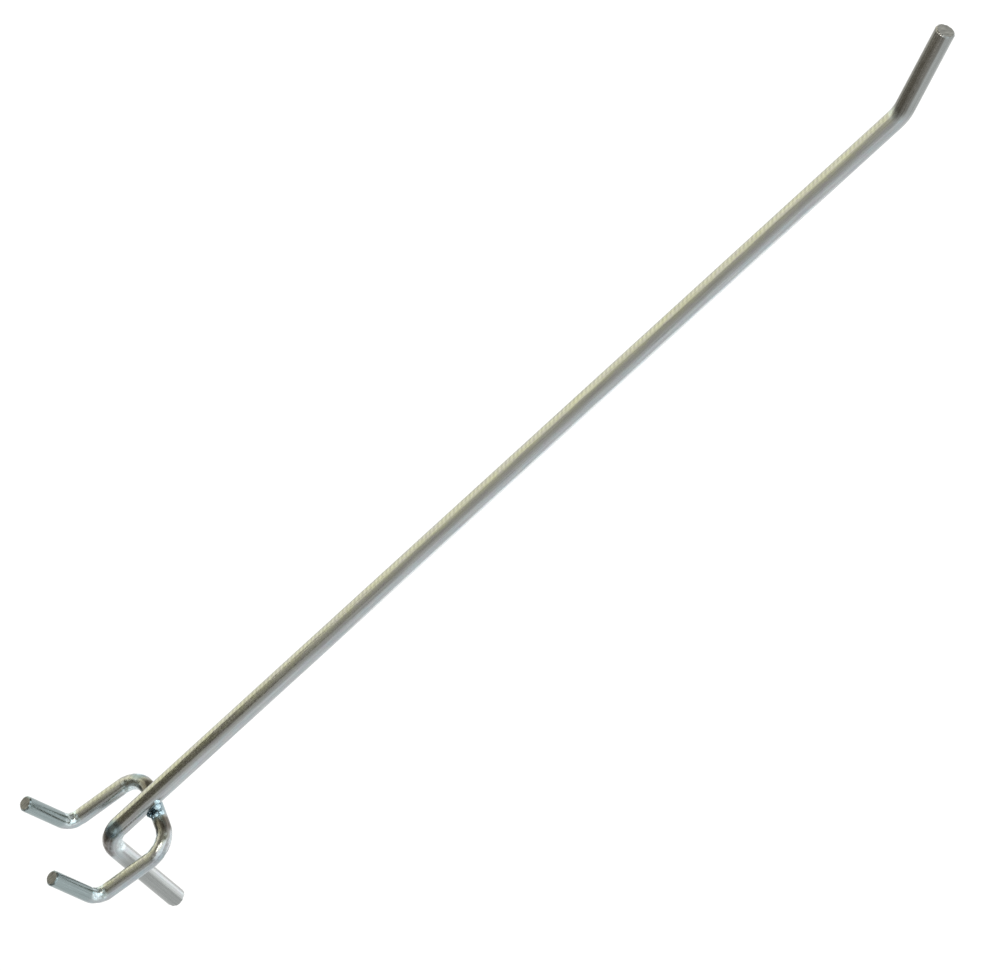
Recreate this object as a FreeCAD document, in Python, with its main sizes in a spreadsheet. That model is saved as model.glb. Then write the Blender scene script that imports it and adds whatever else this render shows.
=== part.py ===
import FreeCAD, Part

import math
import os

import Sketcher

# Welded wire hook for a perforated display board: a thick arm wire and a thinner U of prong wire under it.
# Frame: the origin is on the front face of the board, midway between its two holes and at their height.
# +X points out of the board, +Y runs across it and +Z is up.

PARTS_FOLDER = "parts"
FULL_TURN = 360
START_POINT, END_POINT, CENTRE_POINT = range(1, 4)
SKETCH_ORIGIN = (-1, START_POINT)
ARC_END_TOLERANCE = 1e-3
AREA_TOLERANCE = 1e-3

# Driving dimensions: lengths in millimetres, angles in degrees
DIMENSIONS = [
    ("hole_pitch", 25.0, "between the axes of the two prongs, as between the holes of the board"),
    ("prong_wire_dia", 4.0, "drawn wire of the prongs"),
    ("arm_wire_dia", 5.0, "drawn wire of the arm"),
    ("board_gap", 1.8, "clear depth at hole height, which the lean of the prong ends widens upwards"),
    ("leg_to_crossbar", 14.7, "from the crossing of leg and arm axes out to the crossbar axis"),
    ("prong_end_length", 16.0, "from the crossing of run and end axes to the cut end"),
    ("prong_lean", 9.0, "by which the prong ends lean back from upright"),
    ("prong_bend_radius", 3.6, "axis radius of the bends behind the board"),
    ("crossbar_bend_radius", 6.5, "axis radius of the corners at the ends of the crossbar"),
    ("leg_length", 33.0, "from the crossing of leg and arm axes to the cut end"),
    ("leg_rake", 3.5, "by which the foot of the leg stands back, so that it meets the board first"),
    ("leg_bend_radius", 6.5, "axis radius of the bend from leg to arm"),
    ("arm_length", 281.0, "between the crossings of the arm axis with the leg and tip axes"),
    ("arm_rise", 9.0, "of the arm above level"),
    ("tip_length", 27.5, "from the crossing of arm and tip axes to the cut end"),
    ("tip_turn", 23.0, "of the tip above the line of the arm"),
    ("tip_bend_radius", 12.0, "axis radius of the bend from arm to tip"),
    ("cut_chamfer", 0.35, "broken edge round each cut end"),
    ("weld_set_down", 0.3, "by which the arm is pressed into the crossbar"),
    ("weld_spread", 1.6, "of spread metal past the arm wire and the crossbar"),
    ("weld_thickness", 1.8, "of the spread metal between the two wires"),
]

doc = FreeCAD.newDocument("display_hook")
sizes = doc.addObject("Spreadsheet::Sheet", "sizes")


def fill_sheet():
    for row, (name, value, meaning) in enumerate(DIMENSIONS, start=1):
        sizes.set(f"A{row}", name)
        sizes.set(f"B{row}", str(value))
        sizes.set(f"C{row}", meaning)
        sizes.setAlias(f"B{row}", name)
    doc.recompute()


# Places that several features share, each worked out from the sheet
ARM_RADIUS = "(sizes.arm_wire_dia / 2)"
PRONG_RADIUS = "(sizes.prong_wire_dia / 2)"
HALF_PITCH = "(sizes.hole_pitch / 2)"

# The foot's rear edge, where its chamfer begins, lies on the board at x = 0
LEG_CROSSING_X = (
    f"({ARM_RADIUS} * cos(sizes.leg_rake)"
    " + (sizes.leg_length - sizes.cut_chamfer) * sin(sizes.leg_rake))"
)
CROSSBAR_X = f"({LEG_CROSSING_X} + sizes.leg_to_crossbar)"

# The arm axis passes over the crossbar at the two wire radii less the depth of the weld
WELD_DISTANCE = f"({ARM_RADIUS} + {PRONG_RADIUS} - sizes.weld_set_down)"
ARM_HEIGHT_OVER_CROSSBAR = f"({WELD_DISTANCE} / cos(sizes.arm_rise))"
LEG_CROSSING_Z = f"({ARM_HEIGHT_OVER_CROSSBAR} - sizes.leg_to_crossbar * tan(sizes.arm_rise))"
FOOT_X = f"({LEG_CROSSING_X} - sizes.leg_length * sin(sizes.leg_rake))"
FOOT_Z = f"({LEG_CROSSING_Z} - sizes.leg_length * cos(sizes.leg_rake))"

# The prong ends clear the board's back by the gap, measured level at the height of the holes
PRONG_CROSSING_X = f"(0 - sizes.board_gap - {PRONG_RADIUS} / cos(sizes.prong_lean))"
PRONG_BEND_REACH = "(sizes.prong_bend_radius * tan((90 - sizes.prong_lean) / 2))"
SEAT_REACH = "(sizes.prong_wire_dia + sizes.weld_spread)"
RUN_MIDDLE_X = (
    f"(({CROSSBAR_X} - sizes.crossbar_bend_radius"
    f" + {PRONG_CROSSING_X} + {PRONG_BEND_REACH}) / 2)"
)


def value_of(expression):
    """The number that an expression gives with the sheet's present sizes."""
    result = sizes.evalExpression(expression)
    return float(getattr(result, "Value", result))


def new_body(label):
    body = doc.addObject("PartDesign::Body", label)
    body.Label = label
    body.Placement = FreeCAD.Placement()
    return body


def origin_plane(body, role):
    for feature in body.Origin.OriginFeatures:
        if feature.Role == role:
            return feature
    raise RuntimeError(f"{body.Label} has no plane {role}")


def new_sketch(body, name, role, offsets=None, tilt=None):
    """A sketch on one of the body's planes; offsets move it along the plane's own axes, tilt turns it."""
    sketch = body.newObject("Sketcher::SketchObject", name)
    sketch.AttachmentSupport = [(origin_plane(body, role), "")]
    sketch.MapMode = "FlatFace"
    if tilt:
        axis, angle = tilt
        turn = FreeCAD.Rotation(FreeCAD.Vector(*axis), value_of(angle))
        sketch.AttachmentOffset = FreeCAD.Placement(FreeCAD.Vector(), turn)
        sketch.setExpression("AttachmentOffset.Rotation.Angle", angle)
    for direction, expression in (offsets or {}).items():
        sketch.setExpression(f"AttachmentOffset.Base.{direction}", expression)
    return sketch


def link(sketch, kind, *references):
    sketch.addConstraint(Sketcher.Constraint(kind, *references))


def bind(sketch, name, kind, references, expression):
    """Adds a named dimension to a sketch and ties it to the sheet."""
    start_value = value_of(expression)
    if kind == "Angle":
        start_value = math.radians(start_value)
    index = sketch.addConstraint(Sketcher.Constraint(kind, *references, start_value))
    sketch.renameConstraint(index, name)
    sketch.setExpression(f"Constraints.{name}", expression)


def place_point(sketch, name, geometry, point, x_expression, y_expression):
    bind(sketch, f"{name}_x", "DistanceX", (*SKETCH_ORIGIN, geometry, point), x_expression)
    bind(sketch, f"{name}_y", "DistanceY", (*SKETCH_ORIGIN, geometry, point), y_expression)


def round_section(body, name, role, diameter, centre=None, **attachment):
    """A circle of the wire's diameter, about the sketch's origin or a centre given in its plane."""
    sketch = new_sketch(body, name, role, **attachment)
    radius = value_of(f"{diameter} / 2")
    x, y = (value_of(part) for part in centre) if centre else (0, 0)
    circle = sketch.addGeometry(
        Part.Circle(FreeCAD.Vector(x, y, 0), FreeCAD.Vector(0, 0, 1), radius), False
    )
    bind(sketch, "wire_diameter", "Diameter", (circle,), diameter)
    if centre:
        place_point(sketch, "centre", circle, CENTRE_POINT, *centre)
    else:
        link(sketch, "Coincident", circle, CENTRE_POINT, *SKETCH_ORIGIN)
    return sketch


def bent_axis(sketch, start, runs, radii):
    """Draws a wire's axis from straight runs joined by tangent arcs.

    Each run is a name, a length and a direction. Construction lines carry them, from crossing to crossing.
    """
    crossings = [FreeCAD.Vector(value_of(start[0]), value_of(start[1]), 0)]
    for _, length, direction in runs:
        angle = math.radians(value_of(direction))
        step = FreeCAD.Vector(math.cos(angle), math.sin(angle), 0) * value_of(length)
        crossings.append(crossings[-1] + step)

    guides = []
    for (name, length, direction), first, last in zip(runs, crossings, crossings[1:]):
        guide = sketch.addGeometry(Part.LineSegment(first, last), True)
        if guides:
            link(sketch, "Coincident", guides[-1], END_POINT, guide, START_POINT)
        bind(sketch, f"{name}_length", "Distance", (guide,), length)
        bind(sketch, f"{name}_direction", "Angle", (guide,), direction)
        guides.append(guide)
    place_point(sketch, "start", guides[0], START_POINT, *start)

    bends = [
        arc_at_crossing(*crossings[index:index + 3], value_of(radius))
        for index, radius in enumerate(radii)
    ]
    joints = [crossings[0]]
    for bend in bends:
        joints += [bend[0], bend[-1]]
    joints.append(crossings[-1])
    stretches = [
        sketch.addGeometry(Part.LineSegment(first, last), False)
        for first, last in zip(joints[::2], joints[1::2])
    ]
    for index, (bend, radius) in enumerate(zip(bends, radii)):
        arc = sketch.addGeometry(Part.Arc(*bend), False)
        arc_starts_first = sketch.getPoint(arc, START_POINT).distanceToPoint(bend[0]) < ARC_END_TOLERANCE
        near_end, far_end = (START_POINT, END_POINT) if arc_starts_first else (END_POINT, START_POINT)
        link(sketch, "Tangent", stretches[index], END_POINT, arc, near_end)
        link(sketch, "Tangent", stretches[index + 1], START_POINT, arc, far_end)
        bind(sketch, f"bend_{index + 1}_radius", "Radius", (arc,), radius)
    link(sketch, "Coincident", stretches[0], START_POINT, guides[0], START_POINT)
    link(sketch, "Coincident", stretches[-1], END_POINT, guides[-1], END_POINT)
    for index, (stretch, guide) in enumerate(zip(stretches, guides)):
        if index > 0:
            link(sketch, "PointOnObject", stretch, START_POINT, guide)
        if index < len(stretches) - 1:
            link(sketch, "PointOnObject", stretch, END_POINT, guide)


def arc_at_crossing(before, crossing, after, radius):
    """Start, middle and end of the arc that rounds the crossing of two runs."""
    incoming = (crossing - before).normalize()
    outgoing = (after - crossing).normalize()
    half_turn = incoming.getAngle(outgoing) / 2
    reach = radius * math.tan(half_turn)
    inward = (outgoing - incoming).normalize()
    depth = radius / math.cos(half_turn) - radius
    return crossing - incoming * reach, crossing + inward * depth, crossing + outgoing * reach


def sweep(body, name, section, axis):
    """A wire stretch: the round section carried along its axis."""
    pipe = body.newObject("PartDesign::AdditivePipe", name)
    pipe.Profile = section
    pipe.Spine = (axis, [])
    doc.recompute()
    return pipe


def chamfer_ends(body, base, diameter):
    """Breaks the edge round each flat cut end of a wire."""
    radius = value_of(f"{diameter} / 2")
    cut_edges = []
    for face in base.Shape.Faces:
        disc_area = math.pi * radius ** 2
        if isinstance(face.Surface, Part.Plane) and abs(face.Area - disc_area) < disc_area * AREA_TOLERANCE:
            cut_edges += [
                f"Edge{number}"
                for number, edge in enumerate(base.Shape.Edges, start=1)
                if edge.isSame(face.Edges[0])
            ]
    chamfer = body.newObject("PartDesign::Chamfer", "cut_ends")
    chamfer.Base = (base, cut_edges)
    chamfer.setExpression("Size", "sizes.cut_chamfer")
    doc.recompute()
    return chamfer


def make_arm_wire():
    """Leg, long arm and upturned tip, bent from one wire in the middle plane."""
    body = new_body("arm_wire")
    axis = new_sketch(body, "arm_axis", "XZ_Plane")
    bent_axis(
        axis,
        start=(FOOT_X, FOOT_Z),
        runs=[
            ("leg", "sizes.leg_length", "90 - sizes.leg_rake"),
            ("arm", "sizes.arm_length", "sizes.arm_rise"),
            ("tip", "sizes.tip_length", "sizes.arm_rise + sizes.tip_turn"),
        ],
        radii=["sizes.leg_bend_radius", "sizes.tip_bend_radius"],
    )
    section = round_section(
        body, "foot_section", "XY_Plane", "sizes.arm_wire_dia",
        offsets={"x": FOOT_X, "z": FOOT_Z}, tilt=((0, 1, 0), "sizes.leg_rake"),
    )
    wire = sweep(body, "bent_arm", section, axis)
    chamfer_ends(body, wire, "sizes.arm_wire_dia")
    return body


def make_prong_wire():
    """The U under the arm, with both ends turned up behind the board and a seat welded to the arm."""
    body = new_body("prong_wire")
    section = round_section(
        body, "run_section", "YZ_Plane", "sizes.prong_wire_dia",
        centre=(HALF_PITCH, "0"), offsets={"z": RUN_MIDDLE_X},
    )

    crossbar_axis = new_sketch(body, "crossbar_axis", "XY_Plane")
    bent_axis(
        crossbar_axis,
        start=(RUN_MIDDLE_X, HALF_PITCH),
        runs=[
            ("outward", f"{CROSSBAR_X} - {RUN_MIDDLE_X}", "0"),
            ("crossbar", "sizes.hole_pitch", "-90"),
            ("inward", f"{CROSSBAR_X} - {RUN_MIDDLE_X}", "180"),
        ],
        radii=["sizes.crossbar_bend_radius", "sizes.crossbar_bend_radius"],
    )
    sweep(body, "crossbar_with_runs", section, crossbar_axis)

    end_axis = new_sketch(body, "prong_end_axis", "XZ_Plane", offsets={"z": f"0 - {HALF_PITCH}"})
    bent_axis(
        end_axis,
        start=(RUN_MIDDLE_X, "0"),
        runs=[
            ("run", f"{RUN_MIDDLE_X} - {PRONG_CROSSING_X}", "180"),
            ("prong_end", "sizes.prong_end_length", "90 + sizes.prong_lean"),
        ],
        radii=["sizes.prong_bend_radius"],
    )
    prong_end = sweep(body, "turned_up_end", section, end_axis)

    both_ends = body.newObject("PartDesign::Mirrored", "both_turned_up_ends")
    both_ends.Originals = [prong_end]
    both_ends.MirrorPlane = (origin_plane(body, "XZ_Plane"), [""])
    body.Tip = both_ends
    doc.recompute()

    chamfer_ends(body, both_ends, "sizes.prong_wire_dia")
    spread_weld_metal(body)
    cut_arm_seat(body)
    return body


def spread_weld_metal(body):
    """The flat cushion of metal that the weld squeezes out between the two wires."""
    cushion = body.newObject("PartDesign::AdditiveEllipsoid", "weld_metal")
    cushion.AttachmentSupport = [(origin_plane(body, "XY_Plane"), "")]
    cushion.MapMode = "FlatFace"
    cushion.setExpression("AttachmentOffset.Base.x", CROSSBAR_X)
    cushion.setExpression("AttachmentOffset.Base.z", f"{PRONG_RADIUS} - sizes.weld_set_down / 2")
    cushion.setExpression("Radius1", "sizes.weld_thickness / 2")
    cushion.setExpression("Radius2", "sizes.prong_wire_dia / 2 + sizes.weld_spread / 2")
    cushion.setExpression("Radius3", "sizes.arm_wire_dia / 2 + sizes.weld_spread")
    doc.recompute()


def cut_arm_seat(body):
    """The saddle that the arm has pressed into the crossbar and the weld metal, to the arm's own round."""
    volume_before = body.Shape.Volume
    outline = new_sketch(body, "seat_outline", "XZ_Plane")
    rise = math.radians(value_of("sizes.arm_rise"))
    along = FreeCAD.Vector(math.cos(rise), math.sin(rise), 0) * value_of(SEAT_REACH)
    down = FreeCAD.Vector(math.sin(rise), -math.cos(rise), 0) * value_of(ARM_RADIUS)
    middle = FreeCAD.Vector(value_of(CROSSBAR_X), value_of(ARM_HEIGHT_OVER_CROSSBAR), 0)
    corners = [middle - along, middle + along, middle + along + down, middle - along + down]
    sides = [
        outline.addGeometry(Part.LineSegment(first, last), False)
        for first, last in zip(corners, corners[1:] + corners[:1])
    ]
    for side, following in zip(sides, sides[1:] + sides[:1]):
        link(outline, "Coincident", side, END_POINT, following, START_POINT)
    link(outline, "Perpendicular", sides[0], sides[1])
    link(outline, "Parallel", sides[0], sides[2])
    link(outline, "Parallel", sides[1], sides[3])
    bind(outline, "arm_rise", "Angle", (sides[0],), "sizes.arm_rise")
    bind(outline, "seat_length", "Distance", (sides[0],), f"2 * {SEAT_REACH}")
    bind(outline, "arm_radius", "Distance", (sides[1],), ARM_RADIUS)
    weld_point = outline.addGeometry(Part.Point(middle), True)
    place_point(outline, "weld", weld_point, START_POINT, CROSSBAR_X, ARM_HEIGHT_OVER_CROSSBAR)
    link(outline, "Symmetric", sides[0], START_POINT, sides[0], END_POINT, weld_point, START_POINT)
    seat = body.newObject("PartDesign::Groove", "arm_seat")
    seat.Profile = outline
    seat.ReferenceAxis = (outline, [f"Edge{sides[0] + 1}"])
    seat.Angle = FULL_TURN
    doc.recompute()
    if not body.Shape.Volume < volume_before:
        raise RuntimeError("The arm seat removes nothing")


def check_document():
    for item in doc.Objects:
        if {"Invalid", "Error"} & set(item.State):
            raise RuntimeError(f"{item.Label} failed: {item.State}")


def export(bodies):
    os.makedirs(PARTS_FOLDER, exist_ok=True)
    for body in bodies:
        shape = body.Shape
        if shape.isNull() or not shape.isValid() or len(shape.Solids) != 1:
            raise RuntimeError(f"{body.Label} is not one valid solid")
    for body in bodies:
        body.Shape.exportStep(f"{PARTS_FOLDER}/{body.Label}.step")
        print(body.Label, round(body.Shape.Volume, 1), "mm3", body.Shape.BoundBox)


fill_sheet()
wires = [make_arm_wire(), make_prong_wire()]
doc.recompute()
check_document()
export(wires)
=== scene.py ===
import math
import random

import bpy
from bpy.props import FloatProperty, FloatVectorProperty, IntProperty, PointerProperty
from bpy.types import Operator, Panel, PropertyGroup
from mathutils import Euler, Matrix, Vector


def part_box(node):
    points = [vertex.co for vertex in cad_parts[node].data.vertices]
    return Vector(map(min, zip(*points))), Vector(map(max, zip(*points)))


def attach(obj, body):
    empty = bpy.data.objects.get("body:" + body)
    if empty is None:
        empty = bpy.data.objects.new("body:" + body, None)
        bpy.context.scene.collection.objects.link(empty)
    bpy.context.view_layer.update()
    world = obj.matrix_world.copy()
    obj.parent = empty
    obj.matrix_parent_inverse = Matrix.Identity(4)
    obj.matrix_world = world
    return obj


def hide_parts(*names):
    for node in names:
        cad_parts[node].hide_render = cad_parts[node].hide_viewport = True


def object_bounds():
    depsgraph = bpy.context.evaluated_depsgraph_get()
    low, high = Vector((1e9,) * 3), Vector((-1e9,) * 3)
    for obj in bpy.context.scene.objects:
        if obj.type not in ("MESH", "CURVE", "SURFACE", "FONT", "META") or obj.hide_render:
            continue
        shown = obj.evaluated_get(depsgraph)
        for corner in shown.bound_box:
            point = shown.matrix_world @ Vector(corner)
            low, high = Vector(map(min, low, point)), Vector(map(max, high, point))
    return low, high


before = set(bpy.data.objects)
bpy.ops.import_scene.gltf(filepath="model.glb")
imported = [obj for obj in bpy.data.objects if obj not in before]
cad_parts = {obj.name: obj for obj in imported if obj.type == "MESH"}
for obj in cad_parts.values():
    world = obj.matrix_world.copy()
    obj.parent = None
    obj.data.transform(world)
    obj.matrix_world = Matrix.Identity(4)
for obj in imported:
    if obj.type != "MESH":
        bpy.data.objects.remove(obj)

bl_info = {
    "name": "Board Hook",
    "version": (1, 0, 0),
    "blender": (4, 5, 0),
    "location": "3D View > Sidebar > Board Hook",
    "description": "Dresses a zinc plated wire hook for perforated board",
    "category": "Object",
}

CAD_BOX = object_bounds()
MM = 0.001
ARM_NODE, PRONG_NODE = "arm_wire", "prong_wire"
ARM_PIECE, PRONG_PIECE, WELD_PIECE = "plated_arm", "plated_prongs", "weld_flash"
FIT_TOLERANCE = 0.05 * MM

# What the meshes keep
WIRE_COORDS, BEND_RADIUS, CUT_FACE = "wire_coords", "bend_radius", "cut_face"
INSIDE, BEAD_RADIUS, DROP = "inside", "bead_radius", "drop"

# The swept wire: steps in a bend, rings in the last step of an end, the points either side
# between which its turn is measured, and the angle from which an edge looks sharp
FILLET_STEPS, END_RINGS, TURN_REACH, TURN_GAIN = 40, 7.0, 2.0, 2.6
CREASE_ANGLE = math.radians(30)
DENT_SPACING, DENT_DEPTH, DENT_SMOOTHNESS, DENT_FALL = 1.4 * MM, 0.24 * MM, 0.15, -1.7

# Patterns of the plating, in repeats per metre along the wire and across it
CLOUD_SCALE, LINE_SCALE = (160.0, 420.0, 420.0), (70.0, 3200.0, 3200.0)
GRAIN_SCALE, FLAKE_SCALE = (1500.0, 3000.0, 3000.0), (900.0, 900.0, 900.0)
SHEAR_SCALE, SEED_SHIFT = (0.0, 2200.0, 500.0), (3.1, 1.7, 0.9)
MARK_PITCH, MARK_SLANT = 1.41 * MM, 2.5 * MM

# Directions that sides of the wires face, and the cosines between which a mask rises
UPPER_SIDE, TIP_UPPER, LEG_FRONT = (0.0, 0.62, 0.78), (-0.43, 0.58, 0.69), (0.918, 0.398, 0.0)
# The first two edges place a painted yellowish sheen on the upper side and a darker bluish sheen
# on the flank
STRAW_EDGE, BLUE_EDGE, MARK_EDGE = (-0.10, 0.50), (0.15, -0.45), (0.45, 0.95)
# These three edges place the painted dark and pale bands on the tip's upper side
TIP_BAND_EDGE, TIP_TOP_EDGE, TIP_SHADE_EDGE = (-0.12, 0.08), (0.60, 0.78), (-0.46, -0.20)
LEG_EDGE, PALE_EDGE, DARK_EDGE = (0.75, 0.30), (0.0, 0.36), (-0.04, -0.36)

# Gain and base by which a pattern weighs a tint, or turns into a tone or a roughness
STRAW_SHARE, BLUE_SHARE, VIOLET_SHARE = (0.5, 0.5), (0.7, 0.3), 0.5
PALE_SHARE, DARK_LOSS, CORE_SHARE, HEAT_SHARE = (0.75, 0.25), -0.35, (0.5, 0.5), (0.4, 0.6)
STREAK_TONE, MARK_TONE, SPECK_TONE = (0.26, 0.80), 0.14, 0.10
TIP_STREAK_TONE, SHEAR_TONE = (0.6, 0.65), (0.9, 0.55)
GRAIN_ROUGHNESS, CUT_ROUGHNESS, WELD_ROUGHNESS = (0.14, 0.18), 0.22, (0.15, 0.22)
BLOOM_SHARE, BLOOM_METAL = (0.5, 0.6), (-0.70, 0.95)
STREAK_RELIEF, SPECK_RELIEF, BUMP_STRENGTH, BUMP_DEPTH = 0.6, 0.25, 0.35, 0.03 * MM
# On the prongs: strength of the bluish tint with its painted sheen, and of the painted shade
# outside the bends
PRONG_TEAL, PRONG_OUTER_SHADE = 0.9, 0.20

# Where the painted shade begins and ends: levels of it on the leg and the prong ends, and lengths
# along the arm at the tip
LEG_SHADE_HEIGHTS, PRONG_SHADE_HEIGHTS = (-3.0 * MM, -8.0 * MM), (2.0 * MM, 4.5 * MM)
TIP_SHADE_BEFORE_BEND, TIP_SHADE_FADE = 3.0 * MM, 5.0 * MM
# Painted glints in the bends, each a pale core in a dark rim: place in mm, and how dark the rim
# round it is
ARM_GLINTS = [((8.34, -1.31, 4.63), 0.75)]
PRONG_GLINTS = [((18.9, 11.56, 0.79), 0.70)]
GLINT_CORE, GLINT_RIM = (1.4 * MM, 0.6 * MM), (3.2 * MM, 1.6 * MM)
# Distances from the weld between which its heat tints fade
HEAT_BLUE = (5.2 * MM, 3.2 * MM)
HEAT_BROWN_START, HEAT_BROWN_END = (4.2 * MM, 5.5 * MM), (9.6 * MM, 7.6 * MM)

# The weld: a sunken ring of small beads, and drops with their place and radius in mm
WELD_SINK, BEAD_RING = 0.25 * MM, (2.1 * MM, 3.1 * MM)
BEAD_COUNT, BEAD_SEED, BEAD_SIZES = 20, 7, (0.45, 0.62)
WELD_DROPS = [((2.9, -2.1, 2.9), 0.78), ((1.7, -2.2, 1.2), 0.84), ((1.21, -3.1, -0.56), 0.88),
              ((-0.9, -3.3, -0.3), 0.60), ((0.2, -3.4, 0.0), 0.66), ((1.2, 2.9, 0.0), 0.72),
              ((-0.4, 3.9, -0.1), 0.66), ((-1.9, 1.4, -0.3), 0.62), ((1.9, 1.2, -0.3), 0.66)]
DROP_RADIUS = (0.60 * MM, 0.70 * MM)
VOXEL, SKIN_THRESHOLD, RIPPLE, RIPPLE_SCALE = 0.12 * MM, 0.1, 0.25 * MM, 900.0

# The floor's paint, and the share and strength of its glow where it is seen
FLOOR_PAINT, FLOOR_GLOW, FLOOR_STRENGTH = (0.9, 0.9, 0.9, 1.0), 0.8, 1.10

# What the plating mirrors: each patch covers the ones before it, with a soft edge between two
# cosines to its axis. Bearings are azimuth from +X towards +Y and elevation, in degrees.
ROOM_LIGHT = (0.74, 0.74, 0.70)
PANEL_BEARING, PANEL_EDGE, PANEL_LIGHT = (114.0, 24.0), (0.52, 0.76), (1.42, 1.42, 1.24)
CAMERA_EDGE, CAMERA_LIGHT = (0.66, 0.95), (0.29, 0.29, 0.265)
FRONT_BEARING, FRONT_EDGE, FRONT_LIGHT = (25.0, 50.0), (0.62, 0.82), (0.26, 0.25, 0.225)
SIDE_BEARING, SIDE_EDGE, SIDE_LIGHT = (187.0, 6.0), (0.58, 0.80), (0.27, 0.265, 0.25)
WINDOW_BEARING, WINDOW_EDGE, WINDOW_LIGHT = (-49.0, 20.0), (0.74, 0.90), (1.65, 1.80, 1.88)
BACKDROP_EDGE = (0.55, 0.95)

# A dark level card behind and over the rear bend
CARD_CENTRE = Vector((-0.269, -0.025, 0.25))
CARD_LENGTH, CARD_WIDTH, CARD_LIGHT = 0.362, 0.45, (0.14, 0.13, 0.105)

# The bright spot on the floor under the arm
SPOT_CENTRE = Vector((0.13, 0.0, -0.15))
SPOT_SIZE, SPOT_LIGHT = 0.17, 0.8

# Square lamps: bearing, distance, side, radiance, and whether the plating mirrors them
SOFT_LAMPS = [("small_lamp", (-56.0, 68.0), 1.3, 0.30, 9.0, True),
              ("overhead_lamp", (100.0, 75.0), 2.2, 1.6, 2.0, False)]
SENSOR_WIDTH = 36.0


# Sizes and colours a user may change


class ArmSizes(PropertyGroup):
    """The long wire: leg on the board's face, rising arm and turned up tip"""

    diameter: FloatProperty(name="Wire Diameter", description="Thickness of the arm wire",
                            default=5.0 * MM, unit="LENGTH", precision=5)
    root: FloatVectorProperty(name="Rear Bend", description="Where the axes of leg and arm cross",
                              default=(4.489 * MM, 0.0, 1.924 * MM), unit="LENGTH",
                              subtype="TRANSLATION", precision=6)
    leg_length: FloatProperty(name="Leg Length", description="Rear bend to the leg's foot",
                              default=33.0 * MM, unit="LENGTH", precision=5)
    leg_rake: FloatProperty(name="Leg Rake", description="How far the foot leans to the board",
                            default=math.radians(3.5), subtype="ANGLE")
    length: FloatProperty(name="Arm Length", description="Rear bend to the bend of the tip",
                          default=281.0 * MM, unit="LENGTH", precision=5)
    rise: FloatProperty(name="Arm Rise", description="Slope of the arm above level",
                        default=math.radians(9.0), subtype="ANGLE")
    tip_length: FloatProperty(name="Tip Length", description="Bend of the tip to the cut end",
                              default=27.5 * MM, unit="LENGTH", precision=5)
    tip_turn: FloatProperty(name="Tip Turn", description="Rise of the tip above the arm's",
                            default=math.radians(23.0), subtype="ANGLE")
    leg_bend: FloatProperty(name="Rear Bend Radius", description="Radius on the wire's axis",
                            default=6.5 * MM, unit="LENGTH", precision=5)
    tip_bend: FloatProperty(name="Tip Bend Radius", description="Radius on the wire's axis",
                            default=12.0 * MM, unit="LENGTH", precision=5)


class ProngSizes(PropertyGroup):
    """The thinner wire: a crossbar under the arm and two prongs that hook into the board"""

    diameter: FloatProperty(name="Wire Diameter", description="Thickness of the prong wire",
                            default=4.0 * MM, unit="LENGTH", precision=5)
    pitch: FloatProperty(name="Hole Pitch", description="Distance between the two prongs",
                         default=25.0 * MM, unit="LENGTH", precision=5)
    crossbar: FloatProperty(name="Crossbar Reach", description="Board face to the crossbar's axis",
                            default=19.189 * MM, unit="LENGTH", precision=6)
    prong_depth: FloatProperty(name="Prong Depth", description="Board face to the turned up prong",
                               default=3.825 * MM, unit="LENGTH", precision=6)
    prong_length: FloatProperty(name="Prong Length", description="Length of the turned up end",
                                default=16.0 * MM, unit="LENGTH", precision=5)
    prong_lean: FloatProperty(name="Prong Lean", description="Lean of the end off the board",
                              default=math.radians(9.0), subtype="ANGLE")
    prong_bend: FloatProperty(name="Prong Bend Radius", description="Radius on the wire's axis",
                              default=3.6 * MM, unit="LENGTH", precision=5)
    crossbar_bend: FloatProperty(name="Crossbar Bend Radius", description="Radius on the axis",
                                 default=6.5 * MM, unit="LENGTH", precision=5)


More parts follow.
